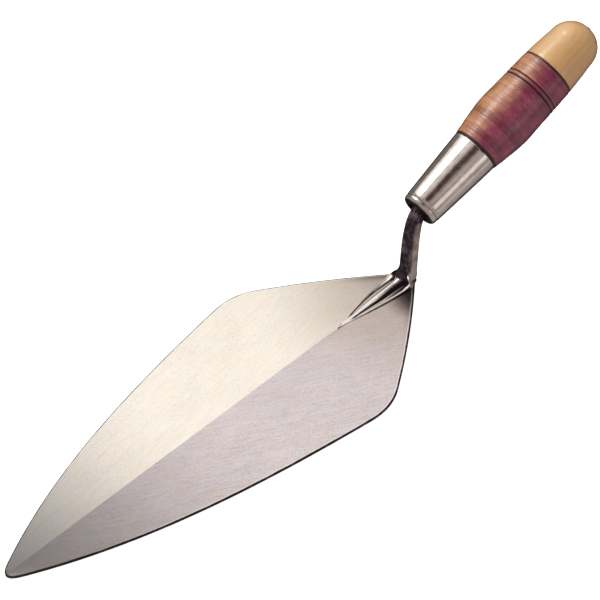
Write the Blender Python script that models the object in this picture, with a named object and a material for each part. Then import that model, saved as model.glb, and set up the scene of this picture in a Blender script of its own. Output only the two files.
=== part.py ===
"""Brick trowel with a one-piece forged blade and tang and a stacked leather handle.

Frame: metres, +Z up. The blade lies flat with its underside on Z = 0, its toe points along -X
and the handle rises along +X. The object is symmetric about Y = 0. The origin is the middle of
the bounding box's base. Dimensions below are in millimetres and are scaled by MM where meshes
are made. "u" is the distance from the blade's heel point towards the toe.
"""

import math

import bmesh
import bpy
from mathutils import Euler, Vector

MM = 0.001

# Fit between pieces
GAP = 0.3

# Blade: nominally 11 in long and 5 in wide. Its long edges would meet at TOE_MEET_U, past the
# rounded toe.
BLADE_LENGTH = 274.5
TOE_MEET_U = 279.4
CORNER_U = 72.5
CORNER_HALF_WIDTH = 65.05
CORNER_ROUNDING = 12.7
HEEL_EDGE_BOW = 2.26
SIDE_EDGE_BOW = 11.84
SIDE_EDGE_LEAN = 0.51
HEEL_EDGE_START = 0.07
SIDE_EDGE_STOP = 0.942
TOE_SHOULDER = 3.2
TOE_END_HALF_WIDTH = 0.4
EDGE_THICKNESS = 1.3
RIDGE_HEIGHT_AT_HEEL = 2.6
RIDGE_HEIGHT_AT_TOE = 2.0

HEEL_BLUNT_POINTS = ((1.2, 3.4), (2.6, 4.5))

# Tongue: the forged foot that spreads the shank into the blade
TONGUE_STATIONS = (2.0, 5.0, 8.5, 12.0, 16.0, 22.0, 29.0, 36.0, 43.0, 49.0, 53.5)
TONGUE_HALF_WIDTH_PER_MM = 0.24
TONGUE_TIP_HALF_WIDTH = 0.25
TONGUE_EDGE_MARGIN = 0.4
TONGUE_FLOOR = 0.5
PLATEAU_RISE = 1.5
RIB_HALF_WIDTH = 4.6
RIB_RISE_AT_SHANK = 7.0
RIB_RISE_ALONG = 0.9

# Shank: rises from the heel and bends back into the handle's axis
SHANK_BASE = (-5.6, 0.8)
SHANK_BASE_REACH = 20.0
SHANK_BASE_LEAN_DEG = 71.0
SHANK_TOP_REACH = 8.0
SHANK_END = 3.0
SHANK_WIDTH = 9.0
SHANK_DEPTH = 5.8
SHANK_CHAMFER = 1.5
SHANK_FOOT_FLARE = 2.2

# Handle: its axis starts at the centre of the ferrule's mouth
HANDLE_TILT_DEG = 15.47
FERRULE_MOUTH = (10.0, 36.7)
FERRULE_LENGTH = 44.0
FERRULE_MOUTH_RADIUS = 10.5
FERRULE_REAR_RADIUS = 13.3
FERRULE_WALL = 1.2
FERRULE_HOLE_RADIUS = 6.4
SPACER_THICKNESS = 1.1
CAP_START = 101.3
CAP_SHOULDER = 120.0
CAP_SHOULDER_RADIUS = 13.8
CAP_DOME_LENGTH = 13.0
CAP_DOME_FULLNESS = 2.2
CAP_FLAT_RADIUS = 5.5
LEATHER_WASHERS = 17
GRIP_STATIONS = ((44.0, 13.5), (53.0, 14.8), (65.0, 16.25), (77.0, 16.0), (89.0, 15.75),
                 (101.0, 15.35), (111.0, 14.6), (120.0, 13.8))
GROOVES = (85.7, 88.2)
GROOVE_WIDTH = 1.0
GROOVE_DEPTH = 0.6

# Tang: runs through the handle and is peened over a washer in the butt
TANG_WIDTH_FRONT = 7.0
TANG_WIDTH_REAR = 4.8
STACK_BORE_RADIUS = 4.6
CAP_BORE_RADIUS = 3.4
RECESS_RADIUS = 5.0
RECESS_FLOOR = 130.2
BUTT_WASHER_RADIUS = 4.6
BUTT_WASHER_THICKNESS = 1.0
PEEN_RADIUS = 3.4
PEEN_HEIGHT = 1.0

ROUND_SEGMENTS = 32

HANDLE_TILT = math.radians(HANDLE_TILT_DEG)
PEEN_START = RECESS_FLOOR + GAP + BUTT_WASHER_THICKNESS + GAP
CAP_FLAT_START = CAP_SHOULDER + CAP_DOME_LENGTH * (
    1 - (CAP_FLAT_RADIUS / CAP_SHOULDER_RADIUS) ** CAP_DOME_FULLNESS) ** (1 / CAP_DOME_FULLNESS)
BUTT_REACH = (FERRULE_MOUTH[0] + CAP_FLAT_START * math.cos(HANDLE_TILT)
              + CAP_FLAT_RADIUS * math.sin(HANDLE_TILT))
HEEL_X = (BLADE_LENGTH - BUTT_REACH) / 2


def clear_scene():
    """Remove every object, so that only the trowel is left."""
    for obj in list(bpy.data.objects):
        bpy.data.objects.remove(obj, do_unlink=True)


def make_material(name, colour, roughness, metallic):
    """Return a Principled BSDF material."""
    material = bpy.data.materials.new(name)
    material.use_nodes = True
    shader = material.node_tree.nodes["Principled BSDF"]
    shader.inputs["Base Color"].default_value = (*colour, 1.0)
    shader.inputs["Roughness"].default_value = roughness
    shader.inputs["Metallic"].default_value = metallic
    return material


def mesh_object(name, verts, faces, material):
    """Make an object from points in millimetres, with its faces turned outwards."""
    bm = bmesh.new()
    points = [bm.verts.new(Vector(v) * MM) for v in verts]
    for face in faces:
        bm.faces.new([points[i] for i in face])
    bmesh.ops.recalc_face_normals(bm, faces=bm.faces)
    return object_from_bmesh(name, bm, material)


def object_from_bmesh(name, bm, material):
    """Turn a bmesh into a smooth-shaded object with sharp corners kept."""
    mesh = bpy.data.meshes.new(name)
    bm.to_mesh(mesh)
    bm.free()
    mesh.shade_smooth()
    mesh.set_sharp_from_angle(angle=math.radians(28))
    mesh.materials.append(material)
    obj = bpy.data.objects.new(name, mesh)
    bpy.context.scene.collection.objects.link(obj)
    return obj


def loft(name, rings, material):
    """Skin closed rings of equal length and close both ends."""
    count = len(rings[0])
    verts = [point for ring in rings for point in ring]
    faces = [tuple(range(count)), tuple(range(len(verts) - count, len(verts)))]
    for k in range(len(rings) - 1):
        near, far = k * count, (k + 1) * count
        for i in range(count):
            j = (i + 1) % count
            faces.append((near + i, near + j, far + j, far + i))
    return mesh_object(name, verts, faces, material)


def add_guide(obj):
    """Mark an object as a guide that only feeds a Boolean."""
    obj.hide_render = True
    obj.display_type = "WIRE"


def join_by_union(obj, guide):
    """Fuse a guide's shape into an object."""
    modifier = obj.modifiers.new("union_" + guide.name, "BOOLEAN")
    modifier.operation = "UNION"
    modifier.solver = "EXACT"
    modifier.object = guide
    add_guide(guide)


def even_steps(first, last, count):
    """Return count values from first to last, evenly spaced."""
    return [first + (last - first) * k / (count - 1) for k in range(count)]


# ---------------------------------------------------------------- blade

def bowed_edge(start, end, bow, lean, t):
    """Return a point on a line from start to end that bows away from the blade's middle."""
    along = Vector(end) - Vector(start)
    outward = Vector((-along.y, along.x)).normalized()
    if outward.y < 0:
        outward.negate()
    offset = 4 * t * (1 - t) * (1 + lean * (t - 0.5)) * bow
    return Vector(start) + along * t + outward * offset


def heel_edge(t):
    """Return (u, half width) on the heel edge, from the heel point to the widest corner."""
    return bowed_edge((0, 0), (CORNER_U, CORNER_HALF_WIDTH), HEEL_EDGE_BOW, 0, t)


def side_edge(t):
    """Return (u, half width) on the long edge, from the widest corner to the toe."""
    return bowed_edge((CORNER_U, CORNER_HALF_WIDTH), (TOE_MEET_U, 0), SIDE_EDGE_BOW,
                      SIDE_EDGE_LEAN, t)


def rounded(start, corner, end, t):
    """Return a point on the curve that cuts a corner between start and end."""
    return start * (1 - t) ** 2 + corner * 2 * t * (1 - t) + end * t ** 2


def blade_outline():
    """Return (u, half width) points from the heel to the toe, with a rounded corner and toe."""
    corner = Vector((CORNER_U, CORNER_HALF_WIDTH))
    heel_length = corner.length
    side_length = (Vector((TOE_MEET_U, 0)) - corner).length
    heel_stop = 1 - CORNER_ROUNDING / heel_length
    side_start = CORNER_ROUNDING / side_length
    points = [Vector(point) for point in HEEL_BLUNT_POINTS]
    for t in even_steps(HEEL_EDGE_START, heel_stop, 7):
        points.append(heel_edge(t))
    for t in even_steps(0.2, 0.8, 4):
        points.append(rounded(heel_edge(heel_stop), corner, side_edge(side_start), t))
    for t in even_steps(side_start, SIDE_EDGE_STOP, 16):
        points.append(side_edge(t))
    toe_shoulder = Vector((BLADE_LENGTH, TOE_SHOULDER))
    toe_end = Vector((BLADE_LENGTH, TOE_END_HALF_WIDTH))
    for t in even_steps(0.2, 1.0, 5):
        points.append(rounded(side_edge(SIDE_EDGE_STOP), toe_shoulder, toe_end, t))
    return points


def ridge_height(u):
    """Return the height of the blade's middle ridge above its underside."""
    share = u / BLADE_LENGTH
    return RIDGE_HEIGHT_AT_HEEL + (RIDGE_HEIGHT_AT_TOE - RIDGE_HEIGHT_AT_HEEL) * share


def make_plate(material):
    """Make the blade: a flat underside and two shallow facets that meet at the ridge."""
    rings = []
    for u, half_width in blade_outline():
        x = HEEL_X - u
        rings.append([(x, -half_width, 0), (x, half_width, 0), (x, half_width, EDGE_THICKNESS),
                      (x, 0, ridge_height(u)), (x, -half_width, EDGE_THICKNESS)])
    return loft("blade_forging", rings, material)


def heel_half_width(u):
    """Return the blade's half width between the heel point and its corner."""
    outline = blade_outline()
    for near, far in zip(outline, outline[1:]):
        if near.x <= u <= far.x:
            return near.y + (far.y - near.y) * (u - near.x) / (far.x - near.x)
    return outline[0].y


def make_tongue(material):
    """Make the spear-shaped foot, with a central rib between two shallow hollows."""
    tip = TONGUE_STATIONS[-1]
    rings = []
    for u in TONGUE_STATIONS:
        x = HEEL_X - u
        share = (tip + 0.5 - u) / tip
        half = min(TONGUE_TIP_HALF_WIDTH + TONGUE_HALF_WIDTH_PER_MM * (tip - u),
                   heel_half_width(u) - TONGUE_EDGE_MARGIN)
        rib = min(RIB_HALF_WIDTH * share ** 0.7, half * 0.6)
        base = ridge_height(u)
        plateau = base - 0.15 + PLATEAU_RISE * share
        crest = plateau + RIB_RISE_AT_SHANK * share ** 4 + RIB_RISE_ALONG * share
        side = [(half, base - 1.3), (half - 0.25 * rib, plateau), (rib, plateau - 0.1),
                (rib * 0.55, (plateau + crest) / 2)]
        rings.append([(x, -half, TONGUE_FLOOR), (x, half, TONGUE_FLOOR)]
                     + [(x, y, z) for y, z in side]
                     + [(x, 0, crest)] + [(x, -y, z) for y, z in reversed(side)])
    return loft("guide_tongue", rings, material)


# ---------------------------------------------------------------- shank and tang

def handle_point(s):
    """Return (x, z) on the handle's axis, s behind the ferrule's mouth."""
    return Vector((FERRULE_MOUTH[0] + s * math.cos(HANDLE_TILT),
                   FERRULE_MOUTH[1] + s * math.sin(HANDLE_TILT)))


def shank_point(t):
    """Return (x, z) on the shank's centre line, from the blade at 0 into the ferrule at 1."""
    lean = math.radians(SHANK_BASE_LEAN_DEG)
    start = Vector(SHANK_BASE)
    leave = start + SHANK_BASE_REACH * Vector((math.cos(lean), math.sin(lean)))
    arrive = handle_point(SHANK_END - SHANK_TOP_REACH)
    end = handle_point(SHANK_END)
    return (start * (1 - t) ** 3 + leave * 3 * t * (1 - t) ** 2
            + arrive * 3 * t * t * (1 - t) + end * t ** 3)


def bar_ring(centre, tangent, width, depth, chamfer):
    """Return a chamfered rectangle square to the bar, width along Y and depth in the X-Z plane."""
    tangent = tangent.normalized()
    across = Vector((tangent.y, -tangent.x))
    w, d = width / 2, depth / 2
    corners = [(w, d - chamfer), (w - chamfer, d), (chamfer - w, d), (-w, d - chamfer),
               (-w, chamfer - d), (chamfer - w, -d), (w - chamfer, -d), (w, chamfer - d)]
    ring = []
    for y, n in corners:
        place = centre + across * n
        ring.append((place.x + HEEL_X, y, place.y))
    return ring


def octagon_ring(s, width):
    """Return a regular octagon round the handle's axis, measured across its flats."""
    axis = Vector((math.cos(HANDLE_TILT), math.sin(HANDLE_TILT)))
    chamfer = width * (1 - 1 / math.sqrt(2))
    return bar_ring(handle_point(s), axis, width, width, chamfer)


def make_shank(material):
    """Make the shank, the tang inside the handle and the peened head at its end."""
    rings = []
    steps = 14
    for k in range(steps):
        t = k / steps
        flare = SHANK_FOOT_FLARE * max(0.0, 1 - t / 0.22) ** 2
        tangent = shank_point(t + 0.01) - shank_point(t)
        if k == 0:
            tangent = Vector((0, 1))
        width = SHANK_WIDTH + (TANG_WIDTH_FRONT - SHANK_WIDTH) * t ** 4
        depth = SHANK_DEPTH + (TANG_WIDTH_FRONT - SHANK_DEPTH) * t ** 4 + flare
        rings.append(bar_ring(shank_point(t), tangent, width, depth, SHANK_CHAMFER))
    for s in (SHANK_END + 0.5, 6.0, 33.0, 63.0, 93.0, PEEN_START):
        share = s / PEEN_START
        width = TANG_WIDTH_FRONT + (TANG_WIDTH_REAR - TANG_WIDTH_FRONT) * share
        rings.append(octagon_ring(s, width))
    rings.append(octagon_ring(PEEN_START, PEEN_RADIUS * 2))
    rings.append(octagon_ring(PEEN_START + PEEN_HEIGHT * 0.5, PEEN_RADIUS * 1.7))
    rings.append(octagon_ring(PEEN_START + PEEN_HEIGHT, PEEN_RADIUS * 0.8))
    return loft("guide_shank", rings, material)


def make_forging(material):
    """Fuse the blade, tongue, shank and tang into the single forging that they are."""
    forging = make_plate(material)
    join_by_union(forging, make_tongue(material))
    join_by_union(forging, make_shank(material))


# ---------------------------------------------------------------- handle

def grip_radius(s):
    """Return the handle's turned radius, eased through the grip's stations."""
    if s >= CAP_SHOULDER:
        share = min(1.0, (s - CAP_SHOULDER) / CAP_DOME_LENGTH)
        return CAP_SHOULDER_RADIUS * (1 - share ** CAP_DOME_FULLNESS) ** (1 / CAP_DOME_FULLNESS)
    last = len(GRIP_STATIONS) - 1
    k = next(i for i in range(last) if s <= GRIP_STATIONS[i + 1][0])
    s0, r0 = GRIP_STATIONS[k]
    s1, r1 = GRIP_STATIONS[k + 1]
    before = GRIP_STATIONS[max(k - 1, 0)]
    after = GRIP_STATIONS[min(k + 2, last)]
    slope0 = (r1 - before[1]) / (s1 - before[0])
    slope1 = (after[1] - r0) / (after[0] - s0)
    t = (s - s0) / (s1 - s0)
    span = s1 - s0
    return ((2 * t ** 3 - 3 * t * t + 1) * r0 + (t ** 3 - 2 * t * t + t) * span * slope0
            + (3 * t * t - 2 * t ** 3) * r1 + (t ** 3 - t * t) * span * slope1)


def make_handle_frame():
    """Make the empty whose +Z runs along the handle's axis."""
    frame = bpy.data.objects.new("handle_axis", None)
    frame.location = Vector((FERRULE_MOUTH[0] + HEEL_X, 0, FERRULE_MOUTH[1])) * MM
    frame.rotation_euler = Euler((0, math.pi / 2 - HANDLE_TILT, 0))
    bpy.context.scene.collection.objects.link(frame)
    return frame


def turned(name, outline, material, frame):
    """Spin a closed outline of (radius, s) points round the handle's axis."""
    bm = bmesh.new()
    verts = [bm.verts.new(Vector((r, 0, s)) * MM) for r, s in outline]
    edges = [bm.edges.new((verts[i], verts[(i + 1) % len(verts)])) for i in range(len(verts))]
    bmesh.ops.spin(bm, geom=verts + edges, cent=(0, 0, 0), axis=(0, 0, 1), dvec=(0, 0, 0),
                   angle=2 * math.pi, steps=ROUND_SEGMENTS, use_duplicate=False)
    bmesh.ops.remove_doubles(bm, verts=bm.verts, dist=0.00001)
    bmesh.ops.recalc_face_normals(bm, faces=bm.faces)
    obj = object_from_bmesh(name, bm, material)
    obj.parent = frame
    return obj


def make_ferrule(material, frame):
    """Make the tapered steel sleeve, its mouth closed in round the shank."""
    lip = [(FERRULE_HOLE_RADIUS, FERRULE_WALL), (FERRULE_HOLE_RADIUS, 0.3),
           (FERRULE_HOLE_RADIUS + 0.8, 0.0), (8.7, 0.15), (9.8, 0.9), (10.35, 2.0)]
    outer = [(FERRULE_MOUTH_RADIUS, 3.6), (FERRULE_REAR_RADIUS, FERRULE_LENGTH)]
    inner = [(FERRULE_REAR_RADIUS - FERRULE_WALL, FERRULE_LENGTH),
             (FERRULE_MOUTH_RADIUS - FERRULE_WALL, 3.6), (8.6, 2.0), (7.9, FERRULE_WALL)]
    turned("ferrule", lip + outer + inner, material, frame)


def make_ferrule_plug(material, frame):
    """Make the wooden core that fills the ferrule round the tang."""
    front, rear = 4.2, FERRULE_LENGTH - 0.4
    slope = (FERRULE_REAR_RADIUS - FERRULE_MOUTH_RADIUS) / (FERRULE_LENGTH - 3.6)
    clearance = FERRULE_WALL + GAP
    front_radius = FERRULE_MOUTH_RADIUS + slope * (front - 3.6) - clearance
    rear_radius = FERRULE_REAR_RADIUS - slope * 0.4 - clearance
    outline = [(STACK_BORE_RADIUS, front), (front_radius - 0.5, front),
               (front_radius, front + 0.6), (rear_radius, rear), (STACK_BORE_RADIUS, rear)]
    turned("ferrule_plug", outline, material, frame)


def make_spacer(name, start, material, frame):
    """Make a thin fibre washer that starts at s = start."""
    end = start + SPACER_THICKNESS
    outline = [(STACK_BORE_RADIUS, start), (grip_radius(start), start),
               (grip_radius(end), end), (STACK_BORE_RADIUS, end)]
    turned(name, outline, material, frame)


def washer_outline(start, end):
    """Return a leather washer's outline, with any turned groove that falls on it."""
    rim = [(grip_radius(start), start)]
    for groove in GROOVES:
        if start < groove < end:
            for offset, depth in ((-0.5, 0), (0, GROOVE_DEPTH), (0.5, 0)):
                s = groove + offset * GROOVE_WIDTH
                rim.append((grip_radius(s) - depth, s))
    rim.append((grip_radius(end), end))
    return [(STACK_BORE_RADIUS, start)] + rim + [(STACK_BORE_RADIUS, end)]


def make_leather_stack(material, frame):
    """Make the leather washers between the two fibre spacers."""
    stack_start = FERRULE_LENGTH + GAP + SPACER_THICKNESS + GAP
    stack_end = CAP_START - GAP - SPACER_THICKNESS - GAP
    pitch = (stack_end - stack_start + GAP) / LEATHER_WASHERS
    for k in range(LEATHER_WASHERS):
        start = stack_start + k * pitch
        outline = washer_outline(start, start + pitch - GAP)
        turned(f"leather_washer_{k + 1:02d}", outline, material, frame)


def make_butt_cap(material, frame):
    """Make the domed wooden cap, bored for the tang and recessed for the washer."""
    outline = [(CAP_BORE_RADIUS, CAP_START)]
    for s in even_steps(CAP_START, CAP_SHOULDER, 5):
        outline.append((grip_radius(s), s))
    power = 2 / CAP_DOME_FULLNESS
    end_angle = math.acos((CAP_FLAT_RADIUS / CAP_SHOULDER_RADIUS) ** (1 / power))
    for angle in even_steps(0, end_angle, 7)[1:]:
        outline.append((CAP_SHOULDER_RADIUS * math.cos(angle) ** power,
                        CAP_SHOULDER + CAP_DOME_LENGTH * math.sin(angle) ** power))
    outline += [(RECESS_RADIUS, CAP_FLAT_START), (RECESS_RADIUS, RECESS_FLOOR),
                (CAP_BORE_RADIUS, RECESS_FLOOR)]
    turned("butt_cap", outline, material, frame)


def make_butt_washer(material, frame):
    """Make the steel washer that the tang is peened over."""
    start = RECESS_FLOOR + GAP
    end = start + BUTT_WASHER_THICKNESS
    hole = TANG_WIDTH_REAR / 2 + 0.5
    outline = [(hole, start), (BUTT_WASHER_RADIUS, start), (BUTT_WASHER_RADIUS, end - 0.2),
               (BUTT_WASHER_RADIUS - 0.2, end), (hole, end)]
    turned("butt_washer", outline, material, frame)


def build():
    """Build the whole trowel."""
    clear_scene()
    forged_steel = make_material("forged_steel", (0.66, 0.62, 0.60), 0.32, 1.0)
    ferrule_steel = make_material("ferrule_steel", (0.70, 0.66, 0.62), 0.25, 1.0)
    core_wood = make_material("core_wood", (0.55, 0.38, 0.22), 0.7, 0.0)
    fibre = make_material("fibre", (0.06, 0.03, 0.03), 0.5, 0.0)
    leather = make_material("leather", (0.30, 0.08, 0.06), 0.35, 0.0)
    cap_wood = make_material("cap_wood", (0.62, 0.40, 0.20), 0.4, 0.0)
    burr_steel = make_material("burr_steel", (0.60, 0.58, 0.55), 0.35, 1.0)

    make_forging(forged_steel)
    frame = make_handle_frame()
    make_ferrule(ferrule_steel, frame)
    make_ferrule_plug(core_wood, frame)
    make_spacer("front_spacer", FERRULE_LENGTH + GAP, fibre, frame)
    make_leather_stack(leather, frame)
    make_spacer("rear_spacer", CAP_START - GAP - SPACER_THICKNESS, fibre, frame)
    make_butt_cap(cap_wood, frame)
    make_butt_washer(burr_steel, frame)


build()
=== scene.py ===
"""Looks for the brick trowel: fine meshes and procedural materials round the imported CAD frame."""

import math

import bmesh
import bpy
from mathutils import Matrix, Vector
from mathutils.kdtree import KDTree


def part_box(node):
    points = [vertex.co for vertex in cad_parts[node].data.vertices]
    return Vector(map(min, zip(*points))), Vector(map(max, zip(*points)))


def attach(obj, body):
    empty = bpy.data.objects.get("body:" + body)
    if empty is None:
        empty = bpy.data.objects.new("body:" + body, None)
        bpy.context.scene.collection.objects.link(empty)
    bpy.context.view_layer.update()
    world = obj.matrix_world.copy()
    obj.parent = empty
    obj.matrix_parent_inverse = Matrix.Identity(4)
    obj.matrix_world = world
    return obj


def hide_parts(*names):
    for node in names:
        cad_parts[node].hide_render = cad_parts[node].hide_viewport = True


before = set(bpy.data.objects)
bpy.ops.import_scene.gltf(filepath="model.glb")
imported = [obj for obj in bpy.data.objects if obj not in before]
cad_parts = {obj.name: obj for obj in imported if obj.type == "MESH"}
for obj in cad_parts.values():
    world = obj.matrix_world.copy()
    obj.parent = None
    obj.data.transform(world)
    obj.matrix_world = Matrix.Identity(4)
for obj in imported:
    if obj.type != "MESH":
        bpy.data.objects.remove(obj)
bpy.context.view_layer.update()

MM = 0.001
BODY = "root"
# How near two points in metres are when they count as the same one.
SAME_POINT = 0.00002

# Sizes in millimetres. "u" runs from the heel point towards the toe, "s" back along the handle
# from the ferrule's mouth. Most repeat the part's. The tongue's rib and grooves, the shank's
# section, the heel's blunt end and the cap's dome are this model's own, inside the part's box.
# BEND_END is a share of the shank's curve. STEPS, SECTIONS and SEGMENTS are counts.
BLADE_LENGTH = 274.5
TOE_MEET_U = 279.4
CORNER = Vector((72.5, 65.05))
CORNER_ROUNDING = 12.7
HEEL_EDGE_BOW = 2.26
SIDE_EDGE_BOW = 11.84
SIDE_EDGE_LEAN = 0.51
HEEL_BLUNT_POINTS = ((2.6, 3.8), (3.2, 4.4))
HEEL_EDGE_START = 0.07
SIDE_EDGE_STOP = 0.942
TOE_SHOULDER = 3.2
TOE_END_HALF_WIDTH = 0.4
EDGE_THICKNESS = 1.3
RIM_ARRIS = 0.3
PLATE_TOP_STEPS = 22
PLATE_TOP_CROWDING = 1.7
PLATE_WAVE_HEIGHT = 0.012
TIP_HOLLOW_U = 55.0
TIP_HOLLOW_DEPTH = 0.4
RIDGE_HEIGHT_AT_HEEL = 2.6
RIDGE_HEIGHT_AT_TOE = 2.0
TONGUE_LENGTH = 53.5
TONGUE_TIP_HALF_WIDTH = 0.25
TONGUE_SPREAD = 0.24
TONGUE_MAX_HALF_WIDTH = 8.4
TONGUE_SOFTNESS = 1.8
FOOT_UNDERSIDE = 0.5
SHOULDER_TIP_HEIGHT = 0.12
SHOULDER_RISE = 1.3
RIB_HALF_WIDTH = 2.5
RIB_HALF_WIDTH_IN_BEND = 9.0
GROOVE_DEPTH = 1.3
LIP_HEIGHT = 0.35
FOOT_CORNER = 0.3
SHANK_CORNER = 1.2
TANG_CORNER = 2.2
CORNER_SHARE = 0.45
BEND_START = 14.0
BEND_END = 0.13
BEND_REACH = 2.6
TONGUE_SECTIONS = 58
BEND_SECTIONS = 44
SHANK_SECTIONS = 56
FLAT_STEPS = 25
TOP_CORNER_STEPS = 6
LOW_CORNER_STEPS = 5
SHANK_BASE = Vector((-5.6, 0.8))
SHANK_BASE_REACH = 20.0
SHANK_BASE_LEAN = math.radians(71.0)
SHANK_TOP_REACH = 8.0
SHANK_END = 3.0
SHANK_WIDTH = 9.8
SHANK_DEPTH = 5.0
HANDLE_TILT = math.radians(15.47)
FERRULE_MOUTH = Vector((10.0, 36.7))
FERRULE_LENGTH = 44.0
FERRULE_MOUTH_RADIUS = 10.5
FERRULE_REAR_RADIUS = 13.3
FERRULE_WALL = 1.2
FERRULE_HOLE_RADIUS = 6.4
FERRULE_BEAD = 3.5
SPACER_THICKNESS = 1.1
SPACER_GAP = 0.3
CLEARANCE = 0.02
CAP_START = 101.3
CAP_SHOULDER = 119.0
CAP_SHOULDER_RADIUS = 13.8
CAP_DOME_LENGTH = 13.7
CAP_DOME_FULLNESS = 2.05
CAP_FLAT_RADIUS = 5.5
LEATHER_WASHERS = 17
GRIP_STATIONS = ((44.0, 13.5), (53.0, 14.8), (65.0, 16.25), (77.0, 16.0), (89.0, 15.75),
                 (101.0, 15.35), (111.0, 14.6), (119.0, 13.8))
GRIP_RADIUS = 16.0
GROOVES = (85.7, 88.2)
GROOVE_CUT = 0.75
GROOVE_HALF_WIDTH = 0.36
JOINT_DIP = 0.04
JOINT_HALF_WIDTH = 0.16
TANG_WIDTH_FRONT = 7.0
TANG_WIDTH_REAR = 4.8
STACK_BORE_RADIUS = 4.6
CAP_BORE_RADIUS = 3.4
RECESS_RADIUS = 5.0
RECESS_FLOOR = 130.2
BUTT_WASHER_RADIUS = 4.6
PEEN_START = 131.8
PEEN_RADIUS = 3.4

# How much forge scale each region of the bar carries: 0 is bare steel, and above 1 is soot.
# HOLLOW_SHADE is painted shade, not scale: it darkens the hollows beside the rib to near black.
HOLLOW_SHADE = 2.0
BEND_SCALE = 1.25
SHANK_SCALE = 0.85
SIDE_SCALE = 0.3

HEEL_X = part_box("blade_forging")[0].x / MM + BLADE_LENGTH
HANDLE_AXIS = Vector((math.cos(HANDLE_TILT), math.sin(HANDLE_TILT)))
ROUND_SEGMENTS = 144
SHARP_ANGLE = math.radians(32)
FORGING_SHARP_ANGLE = math.radians(24)
STACK_START = FERRULE_LENGTH + SPACER_GAP + SPACER_THICKNESS + CLEARANCE
STACK_END = CAP_START - SPACER_GAP - SPACER_THICKNESS - CLEARANCE
WASHER_PITCH = (STACK_END - STACK_START) / LEATHER_WASHERS


# ---------------------------------------------------------------- small helpers

def even_steps(first, last, count):
    """Return count values from first to last, evenly spaced."""
    return [first + (last - first) * k / (count - 1) for k in range(count)]


def mix(a, b, share):
    """Blend linearly from a to b."""
    return a + (b - a) * share


def ease(x, low, high):
    """Return 0 below low, 1 above high and a smooth rise between them."""
    t = min(1.0, max(0.0, (x - low) / (high - low)))
    return t * t * (3 - 2 * t)


def bump_curve(x):
    """Return a bell that is 1 at 0 and dies away by about 2."""
    return math.exp(-x * x)


def bezier(points, t):
    """Return a point on the cubic Bezier through the first and last control points."""
    a, b, c, d = points
    s = 1 - t
    return a * s ** 3 + b * 3 * t * s * s + c * 3 * t * t * s + d * t ** 3


def object_from_bmesh(name, bm):
    """Turn a bmesh into a smooth-shaded object with its sharp corners kept."""
    mesh = bpy.data.meshes.new(name)
    bm.to_mesh(mesh)
    bm.free()
    mesh.shade_smooth()
    mesh.set_sharp_from_angle(angle=SHARP_ANGLE)
    obj = bpy.data.objects.new(name, mesh)
    bpy.context.scene.collection.objects.link(obj)
    return obj


def loft(name, rings, material_of):
    """Skin closed rings of equal length, in millimetres, and close both ends.

    material_of gives the material slot of the faces that start at a ring's point number.
    """
    bm = bmesh.new()
    rows = [[bm.verts.new(Vector(p) * MM) for p in ring] for ring in rings]
    count = len(rows[0])
    bm.faces.new(rows[0])
    bm.faces.new(rows[-1])
    for near, far in zip(rows, rows[1:]):
        for i in range(count):
            j = (i + 1) % count
            face = bm.faces.new((near[i], near[j], far[j], far[i]))
            face.material_index = material_of(i)
    bmesh.ops.recalc_face_normals(bm, faces=bm.faces)
    return object_from_bmesh(name, bm)


# ---------------------------------------------------------------- blade

def bowed_edge(start, end, bow, lean, t):
    """Return a point on a line from start to end that bows away from the blade's middle."""
    along = end - start
    outward = Vector((-along.y, along.x)).normalized()
    if outward.y < 0:
        outward.negate()
    return start + along * t + outward * (4 * t * (1 - t) * (1 + lean * (t - 0.5)) * bow)


def heel_edge(t):
    """Return (u, half width) on the heel edge, from the heel point to the widest corner."""
    return bowed_edge(Vector((0, 0)), CORNER, HEEL_EDGE_BOW, 0, t)


def side_edge(t):
    """Return (u, half width) on the long edge, from the widest corner to the toe."""
    return bowed_edge(CORNER, Vector((TOE_MEET_U, 0)), SIDE_EDGE_BOW, SIDE_EDGE_LEAN, t)


def rounded(start, corner, end, t):
    """Return a point on the curve that cuts a corner between start and end."""
    return start * (1 - t) ** 2 + corner * 2 * t * (1 - t) + end * t ** 2


def blade_outline():
    """Return (u, half width) points from the heel to the toe, with a rounded corner and toe."""
    heel_stop = 1 - CORNER_ROUNDING / CORNER.length
    side_start = CORNER_ROUNDING / (Vector((TOE_MEET_U, 0)) - CORNER).length
    points = [Vector(point) for point in HEEL_BLUNT_POINTS]
    points += [heel_edge(t) for t in even_steps(HEEL_EDGE_START, heel_stop, 44)]
    points += [rounded(heel_edge(heel_stop), CORNER, side_edge(side_start), t)
               for t in even_steps(0.05, 0.95, 14)]
    points += [side_edge(t) for t in even_steps(side_start, SIDE_EDGE_STOP, 104)]
    toe_shoulder = Vector((BLADE_LENGTH, TOE_SHOULDER))
    toe_end = Vector((BLADE_LENGTH, TOE_END_HALF_WIDTH))
    points += [rounded(side_edge(SIDE_EDGE_STOP), toe_shoulder, toe_end, t)
               for t in even_steps(0.08, 1.0, 12)]
    return points


OUTLINE = blade_outline()


def blade_half_width(u):
    """Return the blade's half width at u."""
    for near, far in zip(OUTLINE, OUTLINE[1:]):
        if near.x <= u <= far.x:
            return mix(near.y, far.y, (u - near.x) / (far.x - near.x))
    return OUTLINE[0].y if u < OUTLINE[0].x else OUTLINE[-1].y


def ridge_height(u):
    """Return the height of the blade's middle ridge above its underside."""
    return mix(RIDGE_HEIGHT_AT_HEEL, RIDGE_HEIGHT_AT_TOE, u / BLADE_LENGTH)


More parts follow.
